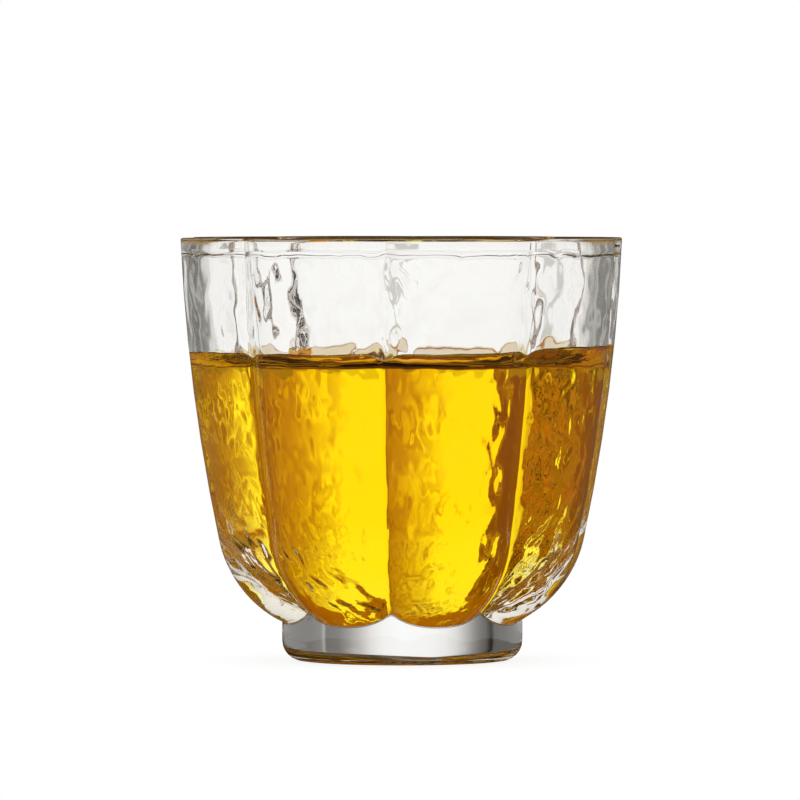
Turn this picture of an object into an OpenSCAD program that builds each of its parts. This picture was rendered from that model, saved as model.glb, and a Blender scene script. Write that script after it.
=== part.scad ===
// Lobed glass teacup: a fluted bowl with a hammered inside, on a round clear foot, part filled
// with tea. The cup stands on z = 0 with its axis on Z, and a groove between two lobes lies on +X.

/* [Cup] */
// Height from the table to the top of the rim
cup_h = 70; // [60:0.5:90]
// Number of lobes round the bowl
lobes = 8; // [6:1:12]
// Radius of a groove up the wall, as a share of the crest radius at that height
groove_share = 0.88; // [0.86:0.005:0.95]
// The same share at the flat under the bowl, where the grooves cut deepest
seat_groove_share = 0.78; // [0.74:0.01:0.86]
// The same share for the ridges that the grooves leave on the inside
ridge_share = 0.905; // [0.89:0.005:0.96]

/* [Bowl outside] */
// Diameter over opposite lobe crests at the rim
rim_d = 75.2; // [68:0.2:90]
// Diameter over opposite lobe crests where the belly starts to curve in
shoulder_d = 62; // [57:0.2:68]
// Diameter over opposite lobe crests of the flat under the bowl
seat_d = 30.6; // [26:0.2:34]
// Height of the belly's curve, from the flat under the bowl up to the shoulder
belly_h = 14.4; // [11:0.2:18]
// How far the wall swells out halfway between the shoulder and the rim
wall_swell = 1.1; // [0:0.1:2]
// Angle over which the corner of an outside groove is rounded, either side of it
outer_soft = 1.2; // [0.4:0.1:3]

/* [Bowl inside] */
// Thickness of the bowl's wall at the crests, above the belly
wall_t = 3.3; // [2.4:0.1:4]
// Thickness of the glass floor over the flat under the bowl
floor_t = 4.3; // [3:0.1:7]
// Height of the curve between the floor and the inside wall
hollow_h = 22; // [18:0.5:28]
// Diameter over opposite crests of the flat part of the floor inside
floor_d = 13; // [8:0.5:18]
// Angle over which the corner of an inside ridge is rounded, either side of it
inner_soft = 3; // [1:0.1:5]

/* [Foot] */
// Diameter of the round foot
foot_d = 39.8; // [38:0.2:44]
// Thickness of the foot's glass under the middle of the bowl, table to bowl
foot_t = 5.4; // [4.4:0.1:7]
// Radius of the foot's lower edge
foot_edge_r = 3.3; // [1:0.1:4]
// Diameter of the shallow dish ground under the foot
dish_d = 24; // [16:0.5:28]
// Depth of that dish at its middle
dish_depth = 0.8; // [0.3:0.1:1.5]

/* [Tea] */
// Drop from the top of the rim to the level of the tea
headroom = 20.5; // [12:0.5:30]
// Height that the tea climbs at the glass
meniscus_h = 1.6; // [0.2:0.1:3]
// Width of the tea's climb, inwards from the glass
meniscus_w = 5; // [2:0.5:8]

/* [Hidden] */

// Facets round one lobe, over the belly curve, up the plain wall, and over the lip
lobe_facets = 12;
belly_rings = 9;
wall_rings = 5;
lip_rings = 6;
tea_rings = 13;
facets = lobes * lobe_facets;
pitch = 360 / lobes;

// How far the foot's blank stands up past the bowl's flat before the bowl is cut out of it
foot_overrun = 8;
// Distances in from the glass at which the meniscus is drawn, as shares of its width
meniscus_shares = [0.06, 0.16, 0.32, 0.56, 1];

rim_r = rim_d / 2;
shoulder_r = shoulder_d / 2;
seat_r = seat_d / 2;
foot_r = foot_d / 2;
dish_r = dish_d / 2;
lip_r = wall_t / 2;
lip_z = cup_h - lip_r;
seat_z = foot_t;
shoulder_z = seat_z + belly_h;
floor_z = seat_z + floor_t;
hollow_z = floor_z + hollow_h;
tea_z = cup_h - headroom;
contact_z = tea_z + meniscus_h;

// Plan of the lobes. With the crest radius as 1, each lobe is an arc about a centre inside it, and
// neighbouring arcs meet in a groove at the radius that deep names. This is the arc's radius.
function arc_share(deep) =
    let (beside = deep * cos(pitch / 2))
    (pow(deep, 2) - 2 * beside + 1) / (2 * (1 - beside));

// Radius of the plan at an angle, as a share of the crest radius, with its corners softened
function plan_share(turn, deep, soft) =
    let (past = turn % pitch)
    let (to_groove = min(past, pitch - past))
    let (from_crest = pitch / 2 - sqrt(pow(to_groove, 2) + pow(soft, 2)))
    let (arc = arc_share(deep))
    (1 - arc) * cos(from_crest) + sqrt(pow(arc, 2) - pow((1 - arc) * sin(from_crest), 2));

// How deep the outside grooves are at a height: even up the wall, deeper round the belly
function groove_at(z) =
    let (down = max(0, shoulder_z - z) / belly_h)
    groove_share - (groove_share - seat_groove_share) * pow(down, 2);

// Crest radius of the wall's own line, which widens from the shoulder to the rim and swells a little
// between them. The belly and the hollow are measured in from the same line carried on down.
function wall_line(z) =
    let (rise = (z - shoulder_z) / (cup_h - shoulder_z))
    shoulder_r + (rim_r - shoulder_r) * rise + 4 * wall_swell * rise * (1 - rise);

// How far a quarter ellipse of height h and width w, ending level at z = top, stands in at z
function ellipse_inset(z, top, h, w) =
    z >= top ? 0 : w * (1 - sqrt(max(0, 1 - pow((top - z) / h, 2))));

// Crest radius of the bowl outside and inside
function outer_r(z) =
    wall_line(z) - ellipse_inset(z, shoulder_z, belly_h, wall_line(seat_z) - seat_r);
function inner_r(z) =
    let (wall_r = wall_line(z) - wall_t)
    wall_r - ellipse_inset(z, hollow_z, hollow_h, wall_line(floor_z) - wall_t - floor_d / 2);

// One ring of points at height z whose crest radius is r
function ring(r, z, deep, soft) = [
    for (i = [0 : facets - 1])
        let (turn = i * 360 / facets)
        let (reach = r * plan_share(turn, deep, soft))
        [reach * cos(turn), reach * sin(turn), z]
];

// A ring of the bowl's outside and one of its inside, at height z
function outer_ring(z) = ring(outer_r(z), z, groove_at(z), outer_soft);
function inner_ring(z) = ring(inner_r(z), z, ridge_share, inner_soft);

// A ring over the lip, at an angle that goes from 0 outside over 90 on top to 180 inside
function lip_ring(angle) = [
    for (i = [0 : facets - 1])
        let (turn = i * 360 / facets)
        let (out = outer_r(lip_z) * plan_share(turn, groove_share, outer_soft))
        let (in = inner_r(lip_z) * plan_share(turn, ridge_share, inner_soft))
        let (reach = (out + in) / 2 + cos(angle) * (out - in) / 2)
        [reach * cos(turn), reach * sin(turn), lip_z + lip_r * sin(angle)]
];

// Heights from low to high, close together at the low end as the curve there needs
function rising(low, high, steps) = [
    for (i = [0 : steps]) low + (high - low) * (1 - cos(90 * i / steps))
];

// The bowl's outside from its flat up to the shoulder, which the foot is cut to as well
belly = [for (z = rising(seat_z, shoulder_z, belly_rings)) outer_ring(z)];

// The inside from the floor up to the line where the tea meets the glass
wetted = [for (z = rising(floor_z, contact_z, tea_rings)) inner_ring(z)];

// A closed skin over a stack of rings, from a point on the axis under or over the first ring to
// one at the last
module skin(rings, first_z, last_z) {
    count = len(rings);
    points = concat([[0, 0, first_z]], [for (r = rings) each r], [[0, 0, last_z]]);
    last = len(points) - 1;
    first_cap = [for (i = [0 : facets - 1]) [0, 1 + i, 1 + (i + 1) % facets]];
    last_cap = [
        for (i = [0 : facets - 1])
            let (base = 1 + (count - 1) * facets)
            [last, base + (i + 1) % facets, base + i]
    ];
    sides = [
        for (k = [0 : count - 2], i = [0 : facets - 1])
            let (low = 1 + k * facets, high = low + facets, next = (i + 1) % facets)
            each [[low + i, high + i, high + next], [low + i, high + next, low + next]]
    ];
    polyhedron(points, concat(first_cap, sides, last_cap));
}

// Fluted bowl: widening wall, round lip and a belly that curves in under it, one glass wall
module bowl() {
    wall_up = [
        for (i = [1 : wall_rings]) outer_ring(shoulder_z + (lip_z - shoulder_z) * i / wall_rings)
    ];
    lip = [for (i = [1 : lip_rings - 1]) lip_ring(180 * i / lip_rings)];
    wall_down = [
        for (i = [0 : wall_rings - 1]) inner_ring(lip_z + (contact_z - lip_z) * i / wall_rings)
    ];
    inside = [for (i = [len(wetted) - 1 : -1 : 0]) wetted[i]];
    color([0.88, 0.92, 0.9], 0.4) skin(concat(belly, wall_up, lip, wall_down, inside), seat_z, floor_z);
}

// Half section of the foot's blank: a disc with a rounded lower edge, dished underneath
module foot_section() {
    blank_h = foot_t + foot_overrun;
    ball_r = (pow(dish_r, 2) + pow(dish_depth, 2)) / (2 * dish_depth);
    difference() {
        union() {
            square([foot_r - foot_edge_r, blank_h]);
            translate([0, foot_edge_r]) square([foot_r, blank_h - foot_edge_r]);
            translate([foot_r - foot_edge_r, foot_edge_r]) circle(r = foot_edge_r, $fn = 64);
        }
        translate([0, dish_depth - ball_r]) circle(r = ball_r, $fn = 720);
    }
}

// Round clear foot: its top is the bowl's own underside, so the two lie face to face and the
// grooves and crests of the lobes draw a scalloped line round it
module foot() {
    color([0.8, 0.84, 0.82], 0.6) difference() {
        rotate_extrude($fn = 192) foot_section();
        skin(belly, seat_z, shoulder_z);
    }
}

// Tea: fills the inside up to its level, and climbs a little way up the glass all round
module tea() {
    surface = [
        for (share = meniscus_shares)
            let (z = tea_z + meniscus_h * pow(1 - share, 3))
            ring(inner_r(contact_z) - share * meniscus_w, z, ridge_share, inner_soft)
    ];
    color([0.86, 0.56, 0.05], 0.8) skin(concat(wetted, surface), floor_z, tea_z);
}

bowl();
foot();
tea();
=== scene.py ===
"""Looks of the lobed glass teacup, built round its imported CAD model.

The bowl and the foot are two gathers of glass fused hot, so they show as one skin of clear glass
with no surface where they meet. The tea takes its side from the glass that holds it.
"""

import logging
import math
from dataclasses import dataclass
from enum import Enum
from typing import ClassVar, NamedTuple

import bmesh
import bpy
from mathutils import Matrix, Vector, noise


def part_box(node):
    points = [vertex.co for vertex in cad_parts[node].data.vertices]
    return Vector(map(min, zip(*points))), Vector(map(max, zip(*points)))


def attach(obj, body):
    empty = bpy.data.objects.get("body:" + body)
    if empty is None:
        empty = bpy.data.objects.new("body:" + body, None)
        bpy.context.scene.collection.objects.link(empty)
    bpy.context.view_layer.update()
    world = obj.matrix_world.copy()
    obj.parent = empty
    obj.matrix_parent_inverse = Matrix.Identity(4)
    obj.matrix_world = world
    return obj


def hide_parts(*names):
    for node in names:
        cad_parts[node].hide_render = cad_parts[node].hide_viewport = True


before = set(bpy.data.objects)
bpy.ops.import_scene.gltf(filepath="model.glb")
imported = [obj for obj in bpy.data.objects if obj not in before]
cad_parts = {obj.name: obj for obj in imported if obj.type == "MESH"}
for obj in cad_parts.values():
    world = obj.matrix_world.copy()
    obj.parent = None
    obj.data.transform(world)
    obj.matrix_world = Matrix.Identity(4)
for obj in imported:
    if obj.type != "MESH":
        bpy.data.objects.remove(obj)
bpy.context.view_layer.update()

log = logging.getLogger("teacup")
MM = 0.001
# Points closer together than this are one point
SAME_POINT = 1e-3 * MM
# A count of surfaces over this is one or more
ANY = 0.5

Colour = tuple[float, float, float, float]
Span = tuple[float, float]
Socket = bpy.types.NodeSocket
Inputs = dict[int | str, object]


class Zone(Enum):
    """Stretches of the glass's skin, in order from under the foot to the floor inside."""

    DISH = 0
    RING = 1
    FOOT_EDGE = 2
    FOOT_SIDE = 3
    BELLY = 4
    WALL = 5
    LIP = 6
    RIM_TOP = 7
    BRIM = 8
    COLLAR = 9
    CREASE = 10
    INSIDE = 11
    WETTED = 12
    HOLLOW = 13
    FLOOR = 14


class Station(NamedTuple):
    """One ring of the skin: its zone, and how far along that zone it lies, from 0 to 1."""

    zone: Zone
    along: float


def smooth(low: float, high: float, value: float) -> float:
    """Eases from 0 at low to 1 at high."""
    share = min(1.0, max(0.0, (value - low) / (high - low)))
    return share * share * (3 - 2 * share)


@dataclass(frozen=True)
class LobedPlan:
    """Plan of the cup: equal lobes that meet in grooves, the crest radius being 1."""

    lobes: int = 8

    @property
    def pitch(self) -> float:
        """Angle from one groove to the next, in radians."""
        return 2 * math.pi / self.lobes

    def to_groove(self, turn: float) -> float:
        """Angle from a direction to its nearest groove, in radians."""
        past = turn % self.pitch
        return min(past, self.pitch - past)

    def share(self, turn: float, deep: float, soft: float) -> float:
        """Radius at an angle, as a share of the crest radius.

        Args:
            turn: Angle from the groove on +X, in radians.
            deep: Radius of a sharp groove, as a share of the crest radius.
            soft: Angle over which the groove's corner is rounded, in radians.

        Returns:
            The share, from about deep to 1.
        """
        off = self.pitch / 2 - math.hypot(self.to_groove(turn), soft)
        beside = deep * math.cos(self.pitch / 2)
        arc = (deep**2 - 2 * beside + 1) / (2 * (1 - beside))
        return (1 - arc) * math.cos(off) + math.sqrt(arc**2 - ((1 - arc) * math.sin(off)) ** 2)

    def crowd(self, turn: float, pull: float) -> float:
        """Moves an angle towards its nearest groove, so that rings have more points there."""
        return turn - pull * math.sin(self.lobes * turn) / self.lobes


class Ripple(NamedTuple):
    """One layer of relief, read from smooth noise.

    Attributes:
        across: Size of its cells across, in millimetres.
        upright: Size of its cells upright, in millimetres.
        height: Height of its relief, in metres.
        shift: How far along the noise it is read, in cells, so that no two layers agree.
    """

    across: float
    upright: float
    height: float
    shift: float

    def at(self, place: Vector) -> float:
        """Height of the layer, from about minus its height to its height.

        Args:
            place: Where it is read, in metres.

        Returns:
            The height there, in metres.
        """
        x, y, z = place / MM
        shift = self.shift
        cell = Vector((x / self.across + shift, y / self.across + shift, z / self.upright + shift))
        return self.height * noise.noise(cell, noise_basis="PERLIN_ORIGINAL")


@dataclass(frozen=True)
class HammeredRelief:
    """Relief of the inside of the bowl, as if hammered: upright dimples of a few millimetres.

    It is slow near the rim, where only the ridges between the lobes are rough, and dense from the
    tea's level down. It begins at an uneven line under the rim, with a small step.

    Attributes:
        dry: Layers over the tea.
        wet: Layers where the tea lies on the glass.
        sway: Layers by which the places that they are read at stray along X, Y and Z.
        dry_z: Height from which up the relief is all dry, and wet_z from which down all wet.
        calm_z: Height under which a lobe between two ridges is nearly smooth, over the tea.
        plain_share: Share of the dry relief that a lobe has over calm_z, calm_share under it.
        ridge_turn: Angle from a ridge over which its rough glass fades out.
        step_h: How far the glass steps into the cup at the line, or back if less than 0.
        start_drop: How far the line lies under the rim's top.
        start_ring: Radius of the circle on which the line's waves are read.
        start_waves: Layers that the line rises and falls with.
        start_dips: Layer whose peaks pull the line down.
        dip_level: Level of that layer's noise at which a dip begins.
        fade: Height over which one kind of relief turns into the next.
    """

    dry: tuple[Ripple, ...] = (Ripple(3.2, 5.4, 0.45 * MM, 4.0), Ripple(1.5, 2.8, 0.14 * MM, 5.5))
    wet: tuple[Ripple, ...] = (Ripple(2.4, 4.2, 0.42 * MM, 9.3), Ripple(1.1, 1.9, 0.22 * MM, 2.7))
    sway: tuple[Ripple, ...] = tuple(Ripple(2.6, 4.4, 0.9 * MM, k) for k in (21.0, 34.0, 55.0))
    dry_z: float = 51.3 * MM
    wet_z: float = 48.7 * MM
    calm_z: float = 53.5 * MM
    plain_share: float = 0.2
    calm_share: float = 0.05
    ridge_turn: float = math.radians(9)
    step_h: float = -0.2 * MM
    step_run: float = 0.25 * MM
    start_drop: float = 2.5 * MM
    start_ring: float = 9 * MM
    start_waves: tuple[Ripple, ...] = (
        Ripple(1.6, 1.6, 0.25 * MM, 3.7),
        Ripple(0.6, 0.6, 0.125 * MM, 8.1),
    )
    start_dips: Ripple = Ripple(0.7, 0.7, 1.25 * MM, 15.3)
    dip_level: float = 0.3
    fade: float = 2.0 * MM

    def start_z(self, turn: float, rim_z: float) -> float:
        """Height of the uneven line under the rim at which the hammered glass begins.

        Args:
            turn: Angle from the groove on +X, in radians.
            rim_z: Height of the rim's top.

        Returns:
            The line's height at that angle.
        """
        around = Vector((math.cos(turn), math.sin(turn), 0)) * self.start_ring
        waves = sum(layer.at(around) for layer in self.start_waves)
        dips = max(0.0, self.start_dips.at(around) - self.dip_level * self.start_dips.height)
        return rim_z - self.start_drop + waves - dips

    def height(self, place: Vector, rim_z: float, plan: LobedPlan) -> float:
        """How far the glass stands out into the cup at a place on its smooth inside.

        Args:
            place: Place on the smooth inside, in metres.
            rim_z: Height of the rim's top.
            plan: Plan of the lobes, for the ridges between them.

        Returns:
            The height of the relief there, in metres.
        """
        turn = math.atan2(place.y, place.x)
        start = self.start_z(turn, rim_z)
        bent = place + Vector([layer.at(place) for layer in self.sway])
        dry, wet = (sum(layer.at(bent) for layer in layers) for layers in (self.dry, self.wet))
        ridge = math.exp(-((plan.to_groove(turn) / self.ridge_turn) ** 2))
        plain = self.calm_share
        plain += (self.plain_share - plain) * smooth(self.calm_z, self.calm_z + self.fade, place.z)
        dry *= plain + (1 - plain) * ridge
        share = smooth(self.dry_z, self.wet_z, place.z)
        rough = (dry + (wet - dry) * share) * smooth(start, start - self.fade, place.z)
        return rough + self.step_h * smooth(start, start - self.step_run, place.z)


@dataclass(frozen=True)
class CupShape:
    """Sizes of the cup, in metres. The heights and the foot's radius come from the CAD model.

    The radii of rim, shoulder, seat and floor reach to the lobes' crests. The shares are radii in
    a groove, or on a ridge inside, as shares of the crest's.

    Attributes:
        lip_r: Radius of the lip's outer edge.
        brim_r: Radius of its inner edge.
        crease_h: Height of the crease where the hammered glass begins.
        weld_nick: How far the foot's side draws in at the line where it meets the bowl.
        side_power: How strongly the rings of the foot's side crowd towards that line.
        climb: How far the tea's line lies over the CAD model's.
        cling: How much higher the tea clings towards +X.
        cling_from: Cosine of the angle from +X at which it begins, cling_full where it is whole.
        ridge_dip: How much lower the tea's line is on a ridge.
        ridge_dip_turn: Angle from a ridge over which that fades out.
        line_wave: How far the tea's line rises and falls.
        line_waves: Pairs of how many cells of noise lie along a radian, and the share they have.
    """

    cup_h: float
    seat_z: float
    foot_r: float
    floor_z: float
    contact_z: float
    rim_r: float
    shoulder_r: float = 31 * MM
    seat_r: float = 15.3 * MM
    belly_h: float = 14.4 * MM
    wall_swell: float = 1.1 * MM
    hollow_h: float = 22 * MM
    floor_r: float = 6.5 * MM
    wall_t: float = 3.3 * MM
    foot_edge_r: float = 3.3 * MM
    dish_r: float = 12 * MM
    dish_depth: float = 0.8 * MM
    groove_share: float = 0.88
    seat_groove_share: float = 0.78
    ridge_share: float = 0.905
    outer_soft: float = math.radians(1.2)
    inner_soft: float = math.radians(3)
    lip_r: float = 0.35 * MM
    brim_r: float = 0.8 * MM
    crease_h: float = 0.25 * MM
    weld_nick: float = 0.14 * MM
    nick_power: int = 4
    side_power: int = 3
    climb: float = 0.6 * MM
    cling: float = 1.1 * MM
    cling_from: float = 0.35
    cling_full: float = 1.05
    ridge_dip: float = 0.9 * MM
    ridge_dip_turn: float = math.radians(4)
    line_wave: float = 0.25 * MM
    line_waves: tuple[Span, ...] = ((6.0, 1.0), (15.0, 0.5))
    plan: LobedPlan = LobedPlan()

    # Steps in which half a lobe is searched for the point that reaches furthest along +X
    reach_steps: ClassVar[int] = 90
    # Halvings in the search for the height of the weld
    weld_halvings: ClassVar[int] = 24

    @classmethod
    def from_frame(cls) -> "CupShape":
        """Reads the sizes that the CAD model's boxes give.

        Returns:
            The cup's sizes.
        """
        bowl_low, bowl_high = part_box("bowl")
        foot_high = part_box("foot")[1]
        tea_low, tea_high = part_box("tea")
        plan = LobedPlan()
        turns = [plan.pitch / 2 * k / cls.reach_steps for k in range(cls.reach_steps)]
        reach = max(plan.share(t, cls.groove_share, cls.outer_soft) * math.cos(t) for t in turns)
        above = bowl_high.z - bowl_low.z - cls.belly_h
        rise = 1 - cls.wall_t / 2 / above
        swell = 4 * cls.wall_swell * rise * (1 - rise)
        return cls(
            cup_h=bowl_high.z,
            seat_z=bowl_low.z,
            foot_r=foot_high.x,
            floor_z=tea_low.z,
            contact_z=tea_high.z,
            rim_r=cls.shoulder_r + (bowl_high.x / reach - cls.shoulder_r - swell) / rise,
        )

    @property
    def lip_z(self) -> float:
        """Height at which the wall's outside ends and the round of the lip begins."""
        return self.cup_h - self.lip_r

    @property
    def brim_z(self) -> float:
        """Height at which the round of the lip ends inside."""
        return self.cup_h - self.brim_r

    @property
    def shoulder_z(self) -> float:
        """Height at which the belly starts to curve in."""
        return self.seat_z + self.belly_h

    @property
    def hollow_z(self) -> float:
        """Height at which the inside starts to curve in."""
        return self.floor_z + self.hollow_h

    def wall_line(self, z: float) -> float:
        """Crest radius of the line that the wall follows from shoulder to rim.

        Args:
            z: Height over the table.

        Returns:
            The radius at that height.
        """
        rise = (z - self.shoulder_z) / (self.cup_h - self.shoulder_z)
        widening = (self.rim_r - self.shoulder_r) * rise
        return self.shoulder_r + widening + 4 * self.wall_swell * rise * (1 - rise)

    @staticmethod
    def ellipse_inset(z: float, top: float, height: float, width: float) -> float:
        """How far a quarter ellipse that ends level at top stands in at z."""
        down = min(1.0, max(0.0, (top - z) / height))
        return width * (1 - math.sqrt(1 - down**2))

    def outside(self, z: float, turn: float) -> float:
        """Radius of the outside.

        Args:
            z: Height over the table.
            turn: Angle from the groove on +X, in radians.

        Returns:
            The radius at that height and angle.
        """
        width = self.wall_line(self.seat_z) - self.seat_r
        crest_r = self.wall_line(z) - self.ellipse_inset(z, self.shoulder_z, self.belly_h, width)
        down = max(0.0, self.shoulder_z - z) / self.belly_h
        deep = self.groove_share - (self.groove_share - self.seat_groove_share) * down**2
        return crest_r * self.plan.share(turn, deep, self.outer_soft)

    def inside(self, z: float, turn: float) -> float:
        """Radius of the inside.

        Args:
            z: Height over the table.
            turn: Angle from the groove on +X, in radians.

        Returns:
            The radius at that height and angle.
        """
        width = self.wall_line(self.floor_z) - self.wall_t - self.floor_r
        inset = self.ellipse_inset(z, self.hollow_z, self.hollow_h, width)
        crest_r = self.wall_line(z) - self.wall_t - inset
        return crest_r * self.plan.share(turn, self.ridge_share, self.inner_soft)

    def weld_z(self, turn: float) -> float:
        """Height at which the bowl's outside comes out of the round foot.

        Args:
            turn: Angle from the groove on +X, in radians.

        Returns:
            The height at that angle.
        """
        low, high = self.seat_z, self.shoulder_z
        for _ in range(self.weld_halvings):
            middle = (low + high) / 2
            if self.outside(middle, turn) < self.foot_r:
                low = middle
            else:
                high = middle
        return (low + high) / 2

    def wet_z(self, turn: float) -> float:
        """Height of the line that the tea reaches on the glass.

        It is lower on the inside's ridges, and the tea clings higher on the side towards +X.

        Args:
            turn: Angle from the groove on +X, in radians.

        Returns:
            The line's height at that angle.
        """
        from_ridge = self.plan.to_groove(turn) / self.ridge_dip_turn
        around = Vector((math.cos(turn), math.sin(turn), 0))
        wave = sum(
            share * noise.noise(around * waves, noise_basis="PERLIN_ORIGINAL")
            for waves, share in self.line_waves
        )
        dip = self.ridge_dip * math.exp(-(from_ridge**2))
        cling = self.cling * smooth(self.cling_from, self.cling_full, math.cos(turn))
        return self.contact_z + self.climb + cling - dip - self.line_wave * (1 - wave)

    def half_section(
        self, station: Station, turn: float, weld_z: float, wet_z: float, start_z: float
    ) -> tuple[float, float]:
        """Radius and height of a point of the skin, in the half plane at an angle.

        Args:
            station: The ring that the point is on.
            turn: Angle from the groove on +X, in radians.
            weld_z: Height at which the bowl comes out of the foot, at that angle.
            wet_z: Height of the tea's line on the glass, at that angle.
            start_z: Height at which the hammered glass begins, at that angle.

        Returns:
            The radius and the height, in metres.
        """
        zone, along = station
        if zone is Zone.DISH:
            return self.dish_r * along, self.dish_depth * (1 - along**2)
        if zone is Zone.RING:
            return self.dish_r + (self.foot_r - self.foot_edge_r - self.dish_r) * along, 0.0
        if zone is Zone.FOOT_EDGE:
            swing = math.pi / 2 * along
            out, up = math.sin(swing), 1 - math.cos(swing)
            return self.foot_r - self.foot_edge_r * (1 - out), self.foot_edge_r * up
        if zone is Zone.FOOT_SIDE:
            radius = self.foot_r - self.weld_nick * along**self.nick_power
            return radius, weld_z - (weld_z - self.foot_edge_r) * (1 - along) ** self.side_power
        if zone is Zone.LIP:
            swing = math.pi / 2 * along
            radius = self.outside(self.lip_z, turn) - self.lip_r * (1 - math.cos(swing))
            return radius, self.lip_z + self.lip_r * math.sin(swing)
        if zone is Zone.RIM_TOP:
            return self.inside(self.brim_z, turn) + self.brim_r, self.cup_h
        if zone is Zone.BRIM:
            swing = math.pi / 2 * along
            radius = self.inside(self.brim_z, turn) + self.brim_r * (1 - math.sin(swing))
            return radius, self.brim_z + self.brim_r * math.cos(swing)
        if zone is Zone.FLOOR:
            return self.inside(self.floor_z, turn) * (1 - along), self.floor_z
        if zone is Zone.BELLY:
            z = weld_z + (self.shoulder_z - weld_z) * (1 - math.cos(math.pi / 2 * along))
        elif zone is Zone.WALL:
            z = self.shoulder_z + (self.lip_z - self.shoulder_z) * along
        elif zone is Zone.COLLAR:
            z = self.brim_z + (start_z - self.brim_z) * along
        elif zone is Zone.CREASE:
            z = start_z - self.crease_h * along
        elif zone is Zone.INSIDE:
            high = start_z - self.crease_h
            z = high + (wet_z - high) * along
        elif zone is Zone.WETTED:
            z = wet_z + (self.hollow_z - wet_z) * along
        else:
            z = self.hollow_z - self.hollow_h * math.sin(math.pi / 2 * along)
        on = self.outside if zone in (Zone.BELLY, Zone.WALL) else self.inside
        return on(z, turn), z


class MeshPiece:
    """Turns a bmesh into an object that rides on the cup."""

    @staticmethod
    def publish(bm: bmesh.types.BMesh, name: str, slot: str, *nodes: str) -> bpy.types.Object:
        """Makes the object, smooth shaded, and ties it to the CAD model.

        Args:
            bm: The finished mesh, which is freed.
            name: The object's name.
            slot: The record's material slot; not used.
            *nodes: The CAD nodes that the piece stands for.

        Returns:
            The new object.
        """
        for face in bm.faces:
            face.smooth = True
        mesh = bpy.data.meshes.new(name)
        bm.to_mesh(mesh)
        bm.free()
        piece = bpy.data.objects.new(name, mesh)
        bpy.context.scene.collection.objects.link(piece)
        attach(piece, "root")
        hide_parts(*nodes)
        log.info("%s: %d faces", name, len(mesh.polygons))
        return piece


class GlassSide(Enum):
    """Finishes of the glass, in the order of its materials."""

    POLISHED = 0
    HAMMERED = 1
    WETTED = 2


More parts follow.
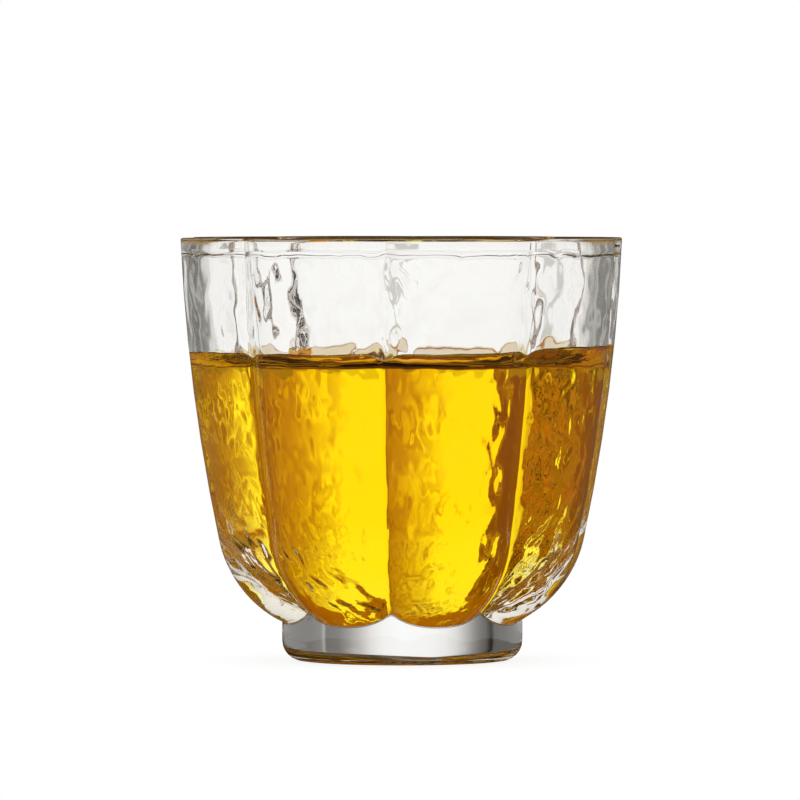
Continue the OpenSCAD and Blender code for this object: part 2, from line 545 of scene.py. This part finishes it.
@dataclass
class Glass:
    """The clear glass: foot, bowl, lip and hammered inside as one closed skin.

    Attributes:
        spokes: Number of points in each ring.
        groove_pull: How strongly the points of a ring crowd towards the grooves.
        rings: Number of rings in each zone.
        hammered: Zones that have the relief.
        wetted: Zones that the tea lies on.
    """

    shape: CupShape
    relief: HammeredRelief
    spokes: int = 576
    groove_pull: float = 0.4

    rings: ClassVar[dict[Zone, int]] = {
        Zone.DISH: 3,
        Zone.RING: 1,
        Zone.FOOT_EDGE: 6,
        Zone.FOOT_SIDE: 5,
        Zone.BELLY: 14,
        Zone.WALL: 6,
        Zone.LIP: 6,
        Zone.RIM_TOP: 1,
        Zone.BRIM: 5,
        Zone.COLLAR: 2,
        Zone.CREASE: 3,
        Zone.INSIDE: 30,
        Zone.WETTED: 34,
        Zone.HOLLOW: 46,
        Zone.FLOOR: 9,
    }
    wetted: ClassVar[tuple[Zone, ...]] = (Zone.WETTED, Zone.HOLLOW, Zone.FLOOR)
    hammered: ClassVar[tuple[Zone, ...]] = (Zone.CREASE, Zone.INSIDE, *wetted)

    def stations(self) -> list[Station]:
        """Lists the rings of the skin.

        Returns:
            The rings, from the middle of the dish to the middle of the floor.
        """
        listed = [Station(Zone.DISH, 0.0)]
        for zone, count in self.rings.items():
            listed += [Station(zone, (k + 1) / count) for k in range(count)]
        return listed

    def spin(self) -> bmesh.types.BMesh:
        """Spins a straight line of points through one lobe and repeats that lobe round the axis.

        Returns:
            A mesh whose points carry the number of their station.
        """
        bm = bmesh.new()
        mark = bm.verts.layers.int.new("station")
        line = []
        for k in range(len(self.stations())):
            vert = bm.verts.new((self.shape.rim_r, 0, k * MM))
            vert[mark] = k
            line.append(vert)
        edges = [bm.edges.new(pair) for pair in zip(line, line[1:])]
        lobes, pitch = self.shape.plan.lobes, self.shape.plan.pitch
        about = {"cent": (0, 0, 0), "axis": (0, 0, 1)}
        bmesh.ops.spin(bm, geom=line + edges, angle=pitch, steps=self.spokes // lobes, **about)
        lobe = [*bm.verts, *bm.edges, *bm.faces]
        bmesh.ops.spin(
            bm, geom=lobe, angle=2 * math.pi - pitch, steps=lobes - 1, use_duplicate=True, **about
        )
        bmesh.ops.remove_doubles(bm, verts=bm.verts, dist=SAME_POINT)
        return bm

    def skin(self) -> bmesh.types.BMesh:
        """Spins the skin, moves its points to the cup's shape and hammers its inside.

        Returns:
            The mesh of the skin.
        """
        bm = self.spin()
        mark = bm.verts.layers.int["station"]
        stations = self.stations()
        step = 2 * math.pi / self.spokes
        turns = [self.shape.plan.crowd(k * step, self.groove_pull) for k in range(self.spokes)]
        levels = [
            (
                self.shape.weld_z(turn),
                self.shape.wet_z(turn),
                self.relief.start_z(turn, self.shape.cup_h),
            )
            for turn in turns
        ]
        for vert in bm.verts:
            spoke = round(math.atan2(vert.co.y, vert.co.x) / step) % self.spokes
            turn = turns[spoke]
            radius, z = self.shape.half_section(stations[vert[mark]], turn, *levels[spoke])
            vert.co = (radius * math.cos(turn), radius * math.sin(turn), z)
        bmesh.ops.remove_doubles(bm, verts=bm.verts, dist=SAME_POINT)
        bmesh.ops.recalc_face_normals(bm, faces=bm.faces)
        self.hammer(bm)
        return bm

    def hammer(self, bm: bmesh.types.BMesh) -> None:
        """Raises the relief on the inside, along the smooth glass's own normals.

        Args:
            bm: The mesh of the skin, whose points are moved.
        """
        mark = bm.verts.layers.int["station"]
        stations = self.stations()
        bm.normal_update()
        inside = [vert for vert in bm.verts if stations[vert[mark]].zone in self.hammered]
        shape = self.shape
        lifts = [self.relief.height(vert.co, shape.cup_h, shape.plan) for vert in inside]
        places = [vert.co + vert.normal * lift for vert, lift in zip(inside, lifts)]
        for vert, place in zip(inside, places):
            vert.co = place

    def side(self, zones: set[Zone]) -> GlassSide:
        """Chooses the finish of a face.

        Args:
            zones: The zones of its corners.

        Returns:
            The finish.
        """
        if not zones.intersection(self.hammered):
            return GlassSide.POLISHED
        return GlassSide.WETTED if zones.intersection(self.wetted) else GlassSide.HAMMERED

    def build(self, bm: bmesh.types.BMesh) -> bpy.types.Object:
        """Makes the glass from its skin and dresses each side of it.

        Args:
            bm: The skin, which is freed.

        Returns:
            The new object.
        """
        mark = bm.verts.layers.int["station"]
        stations = self.stations()
        for face in bm.faces:
            zones = {stations[vert[mark]].zone for vert in face.verts}
            face.material_index = self.side(zones).value
        piece = MeshPiece.publish(bm, "cup_glass", "clear_glass", "bowl", "foot")
        for finish in (PolishedGlass(), HammeredGlass(), WettedGlass()):
            piece.data.materials.append(finish.material())
        return piece


@dataclass
class Tea:
    """The tea: the inside of the glass up to the contact line, with a level top.

    Attributes:
        bite: How far its side lies in the glass.
        meniscus_h: How far the level part lies under the CAD model's contact line.
        meniscus_w: Width of the climb, inwards from the glass.
        meniscus_rings: Number of rings that the climb is made of.
        ring_power: How strongly those rings crowd towards the glass.
        climb_power: How sharply the climb steepens towards the glass.
        edge_drop: How far it falls in the first ring.
        wave_h: Height of the climb's waves.
        wave_cell: Width of the waves.
        wave_rings: Number of rings that a wave takes.
    """

    shape: CupShape
    glass: Glass
    bite: float = 0.05 * MM
    meniscus_h: float = 2.1 * MM
    meniscus_w: float = 5 * MM
    meniscus_rings: int = 12
    ring_power: float = 1.6
    climb_power: int = 3
    edge_drop: float = 0.12 * MM
    wave_h: float = 0.16 * MM
    wave_cell: float = 2.2 * MM
    wave_rings: int = 3

    def fill(self, bm: bmesh.types.BMesh) -> None:
        """Takes the wetted skin of the glass, turns it over and closes its top.

        Args:
            bm: The skin, which becomes the tea's mesh.
        """
        mark = bm.verts.layers.int["station"]
        stations = self.glass.stations()
        first = next(k for k, s in enumerate(stations) if s.zone is Zone.WETTED) - 1
        dry = [vert for vert in bm.verts if vert[mark] < first]
        bmesh.ops.delete(bm, geom=dry, context="VERTS")
        bmesh.ops.reverse_faces(bm, faces=bm.faces)
        bm.normal_update()
        places = {vert: vert.co + vert.normal * self.bite for vert in bm.verts}
        for vert, place in places.items():
            vert.co = place
        side = set(bm.faces)
        self.close_top(bm)
        for face in bm.faces:
            face.material_index = int(face not in side)
        bmesh.ops.recalc_face_normals(bm, faces=bm.faces)

    def close_top(self, bm: bmesh.types.BMesh) -> None:
        """Runs the surface in from the contact line, down its climb, to the middle.

        Args:
            bm: The tea's side, which is open at the top.
        """
        level = self.shape.contact_z - self.meniscus_h
        edge = [e for e in bm.edges if e.is_boundary]
        before = 0.0
        for k in range(1, self.meniscus_rings + 1):
            along = (k / self.meniscus_rings) ** self.ring_power
            new = bmesh.ops.extrude_edge_only(bm, edges=edge)["geom"]
            edge = [e for e in new if isinstance(e, bmesh.types.BMEdge) and e.is_boundary]
            left = ((1 - along) / (1 - before)) ** self.climb_power
            drop = self.edge_drop if k == 1 else 0.0
            for vert in {v for e in edge for v in e.verts}:
                flat = Vector((vert.co.x, vert.co.y, 0))
                flat *= 1 - self.meniscus_w * (along - before) / flat.length
                z = level + (vert.co.z - drop - level) * left
                swell = noise.noise(Vector((*(flat.xy / self.wave_cell), k / self.wave_rings)))
                vert.co = flat + Vector((0, 0, z + self.wave_h * swell * along * (1 - along)))
            before = along
        new = bmesh.ops.extrude_edge_only(bm, edges=edge)["geom"]
        for vert in [v for v in new if isinstance(v, bmesh.types.BMVert)]:
            vert.co = Vector((0, 0, level))
        bmesh.ops.remove_doubles(bm, verts=bm.verts, dist=SAME_POINT)

    def build(self, bm: bmesh.types.BMesh) -> bpy.types.Object:
        """Makes the tea from the glass's skin and dresses it.

        Args:
            bm: The skin, which is freed.

        Returns:
            The new object.
        """
        self.fill(bm)
        piece = MeshPiece.publish(bm, "tea_fill", "tea", "tea")
        for finish in (AmberTea(), TeaSurface()):
            piece.data.materials.append(finish.material())
        return piece


class NodeTree:
    """A node tree that is built one node at a time."""

    # Sockets of a Mix node that mixes colours, numbered among those for all its kinds of value
    MIX_SHARE, MIX_FIRST, MIX_SECOND, MIX_RESULT = 0, 6, 7, 2

    def __init__(self, tree: bpy.types.NodeTree, output: str) -> None:
        """Empties a tree, and adds an output node of the kind named."""
        tree.nodes.clear()
        self.tree, self.output = tree, tree.nodes.new(output)

    @classmethod
    def of_material(cls, name: str) -> tuple["NodeTree", bpy.types.Material]:
        """Starts a new material.

        Args:
            name: The material's name.

        Returns:
            Its tree, and the material.
        """
        made = bpy.data.materials.new(name)
        made.use_nodes = True
        return cls(made.node_tree, "ShaderNodeOutputMaterial"), made

    def feed(self, node: bpy.types.Node, inputs: Inputs) -> None:
        """Sets inputs of a node, or joins other nodes' sockets to them.

        Args:
            node: The node.
            inputs: A plain value or a socket for each input, by its name or number.
        """
        for key, value in inputs.items():
            if isinstance(value, Socket):
                self.tree.links.new(value, node.inputs[key])
            else:
                node.inputs[key].default_value = value

    def add(self, kind: str, inputs: Inputs | None = None, **values: object) -> bpy.types.Node:
        """Adds a node.

        Args:
            kind: The node's type.
            inputs: What its inputs are fed.
            **values: What its properties are set to.

        Returns:
            The new node.
        """
        node = self.tree.nodes.new(kind)
        for name, value in values.items():
            setattr(node, name, value)
        self.feed(node, inputs or {})
        return node

    def math(self, operation: str, *values: object) -> Socket:
        """Adds a math node on numbers or sockets, and gives its result."""
        return self.add("ShaderNodeMath", dict(enumerate(values)), operation=operation).outputs[0]

    def ease(self, value: Socket, low: float, high: float) -> Socket:
        """Adds a node that eases from 0 where the value is low to 1 where it is high."""
        span = {"Value": value, "From Min": low, "From Max": high}
        return self.add("ShaderNodeMapRange", span, interpolation_type="SMOOTHSTEP").outputs[0]

    def blend(self, share: object, first: object, second: object) -> Socket:
        """Adds a node that goes from the first colour to the second as the share goes to 1."""
        pair = {self.MIX_SHARE: share, self.MIX_FIRST: first, self.MIX_SECOND: second}
        return self.add("ShaderNodeMix", pair, data_type="RGBA").outputs[self.MIX_RESULT]

    def scale(self, colour: Socket, gain: object) -> Socket:
        """Adds a node that multiplies a colour by a number."""
        both = {0: colour, "Scale": gain}
        return self.add("ShaderNodeVectorMath", both, operation="SCALE").outputs[0]

    def clear(self, colour: Colour, ior: float) -> bpy.types.Node:
        """Adds the shader of a clear, smooth thing as the tree's surface.

        Args:
            colour: Its colour.
            ior: Its index of refraction.

        Returns:
            The shader.
        """
        inputs = {"Base Color": colour, "Roughness": 0.0, "IOR": ior, "Transmission Weight": 1.0}
        shader = self.add("ShaderNodeBsdfPrincipled", inputs)
        self.feed(self.output, {"Surface": shader.outputs["BSDF"]})
        return shader


@dataclass(frozen=True)
class PolishedGlass:
    """Clear fire-polished glass of the outside, the lip and the foot, with slow waves in it.

    Attributes:
        cells: Cells of its fine relief in a metre.
        detail: How much finer relief is added.
        depth: Depth of the relief.
        upright_share: Width of a cell, as a share of its height.
    """

    name: str = "polished_glass"
    ior: float = 1.5
    colour: Colour = (1.0, 0.999, 0.985, 1.0)
    cells: float = 90.0
    detail: float = 1.0
    depth: float = 0.035 * MM
    upright_share: float = 1.0

    def relief(self, tree: NodeTree) -> Socket:
        """Adds the fine relief.

        Args:
            tree: The material's tree.

        Returns:
            The normal of the uneven surface.
        """
        place = tree.add("ShaderNodeTexCoord").outputs["Object"]
        stretch = {"Vector": place, "Scale": (1.0, 1.0, self.upright_share)}
        place = tree.add("ShaderNodeMapping", stretch).outputs["Vector"]
        cells = {"Vector": place, "Scale": self.cells, "Detail": self.detail}
        height = tree.add("ShaderNodeTexNoise", cells).outputs["Fac"]
        bump = {"Strength": 1.0, "Distance": self.depth, "Height": height}
        return tree.add("ShaderNodeBump", bump).outputs["Normal"]

    def material(self) -> bpy.types.Material:
        """Builds the material.

        Returns:
            The material.
        """
        tree, made = NodeTree.of_material(self.name)
        shader = tree.clear(self.colour, self.ior)
        tree.feed(shader, {"Normal": self.relief(tree)})
        return made


@dataclass(frozen=True)
class HammeredGlass(PolishedGlass):
    """The same glass on the inside of the bowl, with fine upright pits over its relief."""

    name: str = "hammered_glass"
    cells: float = 750.0
    detail: float = 1.5
    depth: float = 0.01 * MM
    upright_share: float = 0.6


@dataclass(frozen=True)
class WettedGlass(HammeredGlass):
    """The glass where tea lies on it. Light bends there as it does from glass to water."""

    name: str = "wetted_glass"
    ior: float = 1.5 / 1.333
    colour: Colour = (1.0, 1.0, 1.0, 1.0)
    depth: float = 0.12 * MM


@dataclass(frozen=True)
class AmberTea:
    """Clear amber tea: it takes out blue first and then green with depth.

    Its side lies on the glass, and the glass already bends the light for both, so the side has
    an index of 1.
    """

    name: str = "amber_tea"
    ior: float = 1.0
    colour: Colour = (1.0, 1.0, 1.0, 1.0)
    kept: Colour = (0.9985, 0.94, 0.0, 1.0)
    density: float = 120.0

    def material(self) -> bpy.types.Material:
        """Builds the material.

        Returns:
            The material.
        """
        tree, made = NodeTree.of_material(self.name)
        tree.clear(self.colour, self.ior)
        tint = {"Color": self.kept, "Density": self.density}
        depth = tree.add("ShaderNodeVolumeAbsorption", tint)
        tree.feed(tree.output, {"Volume": depth.outputs["Volume"]})
        return made


@dataclass(frozen=True)
class TeaSurface(AmberTea):
    """The same tea at its open surface, with the index of water."""

    name: str = "tea_surface"
    ior: float = 1.333


class Band(NamedTuple):
    """Light round the horizon: pairs of an angle from straight behind the cup and a level."""

    stops: tuple[Span, ...]
    shade: tuple[float, float, float]

    def colour(self, level: float) -> Colour:
        """Colour of the light at a level: white where it is full, tinted in the shade."""
        return (*(level * (1 - (1 - level) * (1 - tint)) for tint in self.shade), 1.0)

    def socket(self, tree: NodeTree, turns: Socket) -> Socket:
        """Adds the band's ramp.

        Args:
            tree: The world's tree.
            turns: Angle from straight behind the cup, from 0 for -180 to 1 for 180 degrees.

        Returns:
            The colour at that angle.
        """
        ramp = tree.add("ShaderNodeValToRGB", {"Fac": turns})
        marks = ramp.color_ramp.elements
        while len(marks) < len(self.stops):
            marks.new(0.5)
        for mark, (degrees, level) in zip(marks, self.stops):
            mark.position = degrees / 360 + 0.5
            mark.color = self.colour(level)
        return ramp.outputs["Color"]


class Sky(NamedTuple):
    """Light from every side: a band round the horizon, and what lies above and below it.

    Attributes:
        band: Light round the horizon.
        above: Light over it.
        below: Light under it.
        top: Heights over the horizon, in degrees, between which above begins.
        bottom: Heights over the horizon between which below begins.
    """

    band: Band
    above: Colour
    below: Band | Colour
    top: Span
    bottom: Span

    def socket(self, tree: NodeTree, turns: Socket, rise: Socket) -> Socket:
        """Adds the sky.

        Args:
            tree: The world's tree.
            turns: Angle from straight behind the cup, from 0 to 1.
            rise: Height over the horizon, in degrees.

        Returns:
            The colour in that direction.
        """
        below = self.below
        if isinstance(below, Band):
            below = below.socket(tree, turns)
        light = tree.blend(tree.ease(rise, *self.bottom), self.band.socket(tree, turns), below)
        return tree.blend(tree.ease(rise, *self.top), light, self.above)


@dataclass(frozen=True)
class StudioLight:
    """The light round the cup: a bright panel behind it between dark cards, over a dark table.

    Light that has crossed no more than the foot, light that has crossed the empty part of the
    bowl and light that has crossed the tea each have a sky, because the cards stand at three
    depths behind the cup. Light that the foot or the tea mirrors on its way has a sky of its own.
    Light that goes straight down through the bowl, clear of the panel, meets a white table.

    Attributes:
        behind: Angle that the camera stands round the cup, in radians.
        foot: Sky through the foot and the lip, and bounced the one that they mirror.
        clear: Sky through the empty part of the bowl.
        tea: Sky through the tea, and turned the one that it mirrors.
        panel_gain: How much brighter the tea's sky is than its stops say.
        thin: Light from low down, through the tea.
        silver: Light straight behind that the empty bowl mirrors.
        deep: Light from high over and far under the bowl.
        sheen: Light that the outside mirrors.
        plain: The white table, and the light on all that isn't glass.
        foot_count: Surfaces that light has crossed at most when it has been in the foot alone.
        clear_count: Surfaces that it has crossed at most when it hasn't been in the tea.

    A name with rise gives the heights over the horizon, in degrees, between which a light begins,
    and one with aside the angles from straight behind, as shares of a turn.
    """

    behind: float

    foot: Sky = Sky(
        Band((
            (-180, 1.0), (-130, 0.9), (-110, 0.25), (-60, 0.16), (-38, 0.12), (-36.5, 0.02),
            (-34.5, 0.02), (-33, 0.11), (-30, 0.15), (-26, 0.27), (-22, 0.49), (-18, 0.75),
            (-14, 0.89), (-9, 0.97), (0, 1.0), (6, 0.95), (10, 0.8), (14, 0.53), (18, 0.33),
            (22, 0.2), (28.5, 0.17), (29.5, 0.42), (31, 0.24), (38, 0.19), (80, 0.18),
            (110, 0.25), (130, 0.9), (180, 1.0),
        ), shade=(1.0, 0.96, 0.88)),
        above=(0.11, 0.072, 0.042, 1.0), below=(0.07, 0.036, 0.013, 1.0),
        top=(22.0, 32.0), bottom=(-8.0, -14.0),
    )
    bounced: Sky = Sky(
        Band((
            (-180, 1.0), (-75, 0.95), (-60, 0.88), (-50, 0.72), (-46, 0.34), (-42, 0.22),
            (-39, 0.5), (-36, 0.2), (-31, 0.16), (-28, 0.44), (-25, 0.2), (-21, 0.3), (-17, 0.45),
            (-14, 0.92), (6, 0.94), (8.5, 0.4), (20, 0.4), (29, 0.36), (34, 0.22), (38, 0.48),
            (41, 0.24), (47, 0.2), (50, 0.46), (54, 0.32), (64, 0.85), (75, 0.95), (180, 1.0),
        ), shade=(1.0, 0.95, 0.85)),
        above=(0.045, 0.028, 0.01, 1.0), below=(0.36, 0.25, 0.13, 1.0),
        top=(22.0, 30.0), bottom=(-10.0, -16.0),
    )
    clear: Sky = Sky(
        Band((
            (-180, 1.0), (-75, 0.95), (-62, 0.6), (-46, 0.42), (-41, 0.85), (-34, 0.96),
            (0, 1.0), (12.6, 1.0), (13.4, 0.62), (16, 0.62), (17, 0.96), (26, 0.96), (31, 0.75),
            (42, 0.65), (52, 0.4), (62, 0.6), (75, 0.95), (180, 1.0),
        ), shade=(1.0, 0.94, 0.8)),
        above=(0.5, 0.48, 0.44, 1.0), below=(0.45, 0.42, 0.37, 1.0),
        top=(4.5, 7.5), bottom=(-15.0, -19.0),
    )
    tea: Sky = Sky(
        Band((
            (-180, 1.0), (-150, 1.0), (-140, 0.35), (-110, 0.35), (-104, 0.9), (-76, 0.9),
            (-70, 0.35), (-58, 0.35), (-52, 0.45), (-48, 0.24), (-38, 0.19), (-27.2, 0.2),
            (-25.6, 0.66), (-20, 0.78), (-12, 0.92), (-6, 1.0), (6, 1.0), (8, 0.84),
            (11.5, 0.64), (13, 0.52), (15.5, 0.45), (19, 0.3), (30, 0.29), (40, 0.36),
            (56, 0.36), (70, 0.35), (76, 0.85), (104, 0.85), (110, 0.32), (140, 0.32),
            (150, 1.0), (180, 1.0),
        ), shade=(1.0, 0.24, 0.06)),
        above=(0.35, 0.14, 0.015, 1.0), below=(0.34, 0.13, 0.03, 1.0),
        top=(12.0, 17.5), bottom=(-5.0, -8.5),
    )
    turned: Sky = Sky(
        Band((
            (-180, 0.6), (-150, 0.5), (-110, 0.5), (-60, 0.43), (-20, 0.35), (-9, 0.9), (4, 0.9),
            (12, 0.4), (30, 0.3), (60, 0.45), (90, 0.7), (105, 0.88), (131, 0.9), (160, 0.7),
            (180, 0.6),
        ), shade=(1.0, 0.5, 0.35)),
        above=(0.45, 0.22, 0.08, 1.0),
        below=Band((
            (-180, 0.6), (-150, 0.5), (-90, 0.5), (-60, 0.42), (-30, 0.24), (0, 0.16), (30, 0.2),
            (60, 0.46), (90, 0.64), (130, 0.9), (160, 0.95), (180, 0.6),
        ), shade=(1.0, 0.15, 0.0)),
        top=(10.0, 18.0), bottom=(-3.0, -9.0),
    )
    panel_gain: float = 1.2
    thin: Colour = (0.8, 0.72, 0.79, 1.0)
    thin_rise: Span = (-11.0, -14.0)
    silver: Colour = (0.96, 0.93, 0.86, 1.0)
    silver_aside: Span = (24 / 360, 18 / 360)
    deep: Colour = (0.045, 0.023, 0.007, 1.0)
    deep_rise: Span = (40.0, 48.0)
    sheen: Colour = (0.07, 0.06, 0.045, 1.0)
    plain: Colour = (1.0, 1.0, 1.0, 1.0)
    plain_aside: Span = (17 / 360, 22 / 360)
    plain_rise: Span = (-19.0, -24.0)
    foot_count: float = 2.5
    clear_count: float = 4.5

    def direction(self, tree: NodeTree) -> tuple[Socket, Socket]:
        """Adds the direction that light comes from.

        Args:
            tree: The world's tree.

        Returns:
            Its angle from straight behind the cup, from 0 for -180 to 1 for 180 degrees, and its
            height over the horizon, in degrees.
        """
        place = tree.add("ShaderNodeTexCoord").outputs["Generated"]
        east, north, up = tree.add("ShaderNodeSeparateXYZ", {"Vector": place}).outputs
        angle = tree.math("ADD", tree.math("ARCTAN2", east, north), self.behind)
        turns = tree.math("MULTIPLY_ADD", angle, 1 / (2 * math.pi), 0.5)
        rise = tree.math("MULTIPLY", tree.math("ARCSINE", up), 180 / math.pi)
        return turns, rise

    def in_glass(self, tree: NodeTree, path: bpy.types.Node) -> Socket:
        """Adds the light that shows in the glass and the tea.

        Args:
            tree: The world's tree.
            path: Its Light Path node.

        Returns:
            The colour in each direction.
        """
        turns, rise = self.direction(tree)
        aside = tree.math("ABSOLUTE", tree.math("SUBTRACT", turns, 0.5))
        crossed = path.outputs["Transmission Depth"]
        mirrored = tree.math("GREATER_THAN", path.outputs["Glossy Depth"], ANY)
        foot, bounced, clear, tea, turned = (
            sky.socket(tree, turns, rise)
            for sky in (self.foot, self.bounced, self.clear, self.tea, self.turned)
        )
        foot = tree.blend(mirrored, foot, bounced)
        foot = tree.blend(tree.math("GREATER_THAN", crossed, ANY), self.sheen, foot)
        silvered = tree.math("MULTIPLY", mirrored, tree.ease(aside, *self.silver_aside))
        clear = tree.blend(silvered, clear, self.silver)
        tea = tree.scale(tea, self.panel_gain)
        tea = tree.blend(tree.ease(rise, *self.thin_rise), tea, self.thin)
        tea = tree.blend(mirrored, tea, turned)
        bowl = tree.blend(tree.math("GREATER_THAN", crossed, self.clear_count), clear, tea)
        away = tree.math("ABSOLUTE", rise)
        bowl = tree.blend(tree.ease(away, *self.deep_rise), bowl, self.deep)
        straight = tree.math("SUBTRACT", 1.0, mirrored)
        beside = tree.math("MULTIPLY", straight, tree.ease(aside, *self.plain_aside))
        table = tree.math("MULTIPLY", beside, tree.ease(rise, *self.plain_rise))
        bowl = tree.blend(table, bowl, self.plain)
        return tree.blend(tree.math("GREATER_THAN", crossed, self.foot_count), foot, bowl)

    def world(self) -> bpy.types.World:
        """Builds the world: white to the camera, plain on matt things, the skies in the glass.

        Returns:
            The world.
        """
        world = bpy.data.worlds.new("studio")
        world.use_nodes = True
        tree = NodeTree(world.node_tree, "ShaderNodeOutputWorld")
        path = tree.add("ShaderNodeLightPath")
        through, off = path.outputs["Is Transmission Ray"], path.outputs["Is Glossy Ray"]
        lens = tree.math("MAXIMUM", through, off)
        light = tree.blend(lens, self.plain, self.in_glass(tree, path))
        light = tree.blend(path.outputs["Is Camera Ray"], light, self.plain)
        back = tree.add("ShaderNodeBackground", {"Color": light})
        tree.feed(tree.output, {"Surface": back.outputs[0]})
        return world


@dataclass
class Studio:
    """Floor, light and camera.

    Attributes:
        azimuth: Angle that the camera stands round the cup.
        aside: How far it is moved to the right, with the place that it looks at.
        half_view: Half the angle that it takes in.
        sensor: Width of its sensor, in millimetres.
        floor_drop: How far the table lies under the cup, so that the two don't touch.
        painted_dark_y: Distance behind the axis past which the glass shows the table dark: painted
            reflection.
        table: Glow of the table, and matt its colour, which takes the shadow.
        dark: Glow of the table where the glass sees it dark, and wood its colour there: painted
            reflection.
    """

    azimuth: float = math.radians(5.3)
    distance: float = 1500 * MM
    camera_z: float = 82 * MM
    aim_z: float = 43.1 * MM
    aside: float = -0.38 * MM
    half_view: float = math.radians(2.528)
    sensor: float = 36.0
    nearest: float = 10 * MM
    floor_r: float = 50 * MM
    floor_drop: float = 0.05 * MM
    floor_sides: int = 96
    # Painted dark reflection: past painted_dark_y and in mirrored light, the glass sees the table
    # dark
    painted_dark_y: float = 24 * MM
    table: Colour = (0.86, 0.86, 0.86, 1.0)
    matt: Colour = (0.2, 0.2, 0.2, 1.0)
    # Painted dark reflection: the table's colour where only the glass sees it
    painted_dark_colour: Colour = (0.045, 0.024, 0.009, 1.0)
    dark: Colour = (0.0, 0.0, 0.0, 1.0)
    bounces: int = 24
    glossy_bounces: int = 12

    def camera(self) -> bpy.types.Object:
        """Places the camera at the photograph's angle.

        Returns:
            The camera.
        """
        data = bpy.data.cameras.new("camera")
        data.sensor_width = self.sensor
        data.lens = self.sensor / 2 / math.tan(self.half_view)
        data.clip_start = self.nearest
        eye = bpy.data.objects.new("camera", data)
        bpy.context.scene.collection.objects.link(eye)
        right = Vector((math.cos(self.azimuth), math.sin(self.azimuth), 0))
        back = Vector((math.sin(self.azimuth), -math.cos(self.azimuth), 0))
        aim = right * self.aside + Vector((0, 0, self.aim_z))
        eye.location = right * self.aside + back * self.distance + Vector((0, 0, self.camera_z))
        eye.rotation_euler = (aim - eye.location).to_track_quat("-Z", "Y").to_euler()
        bpy.context.scene.camera = eye
        return eye

    def floor(self) -> bpy.types.Object:
        """Lays a small white round table under the cup, that takes a faint shadow.

        Returns:
            The table.
        """
        bm = bmesh.new()
        bmesh.ops.create_circle(bm, cap_ends=True, segments=self.floor_sides, radius=self.floor_r)
        mesh = bpy.data.meshes.new("floor")
        bm.to_mesh(mesh)
        bm.free()
        floor = bpy.data.objects.new("floor", mesh)
        bpy.context.scene.collection.objects.link(floor)
        floor.location.z = -self.floor_drop
        mesh.materials.append(self.table_top())
        return floor

    def table_top(self) -> bpy.types.Material:
        """Builds the table's material: white, but painted dark in mirrored light and behind the
        foot.

        Returns:
            The material.
        """
        tree, made = NodeTree.of_material("white_table")
        path = tree.add("ShaderNodeLightPath")
        mirrored = tree.math("GREATER_THAN", path.outputs["Glossy Depth"], ANY)
        place = tree.add("ShaderNodeTexCoord").outputs["Object"]
        away = (-math.sin(self.azimuth), math.cos(self.azimuth), 0.0)
        back = tree.add("ShaderNodeVectorMath", {0: place, 1: away}, operation="DOT_PRODUCT")
        behind = tree.math("GREATER_THAN", back.outputs["Value"], self.painted_dark_y)
        seen = tree.math("MULTIPLY", path.outputs["Is Transmission Ray"], behind)
        # Painted dark reflection: the table shows dark where the glass mirrors it or sees it
        # behind the foot
        painted_dark_mask = tree.math("MAXIMUM", mirrored, seen)
        light, colour = (
            tree.blend(painted_dark_mask, white, painted_dark_tone)
            for white, painted_dark_tone in ((self.table, self.dark), (self.matt, self.painted_dark_colour))
        )
        glow = tree.add("ShaderNodeEmission", {"Color": light})
        matt = tree.add("ShaderNodeBsdfDiffuse", {"Color": colour})
        both = tree.add("ShaderNodeAddShader", {0: glow.outputs[0], 1: matt.outputs[0]})
        tree.feed(tree.output, {"Surface": both.outputs[0]})
        return made

    def set_up(self) -> None:
        """Sets the camera, the light and the floor, and how far light is followed in glass."""
        scene = bpy.context.scene
        self.camera()
        scene.world = StudioLight(behind=self.azimuth).world()
        self.floor()
        scene.view_settings.view_transform = "Standard"
        scene.cycles.max_bounces = self.bounces
        scene.cycles.transmission_bounces = self.bounces
        scene.cycles.glossy_bounces = self.glossy_bounces


def main() -> None:
    """Builds the cup and its studio."""
    logging.basicConfig(level=logging.INFO)
    shape = CupShape.from_frame()
    log.info("rim crest radius %.2f mm", shape.rim_r / MM)
    Studio().set_up()
    glass = Glass(shape, HammeredRelief())
    skin = glass.skin()
    glass.build(skin.copy())
    Tea(shape, glass).build(skin)


if __name__ == "__main__":
    main()
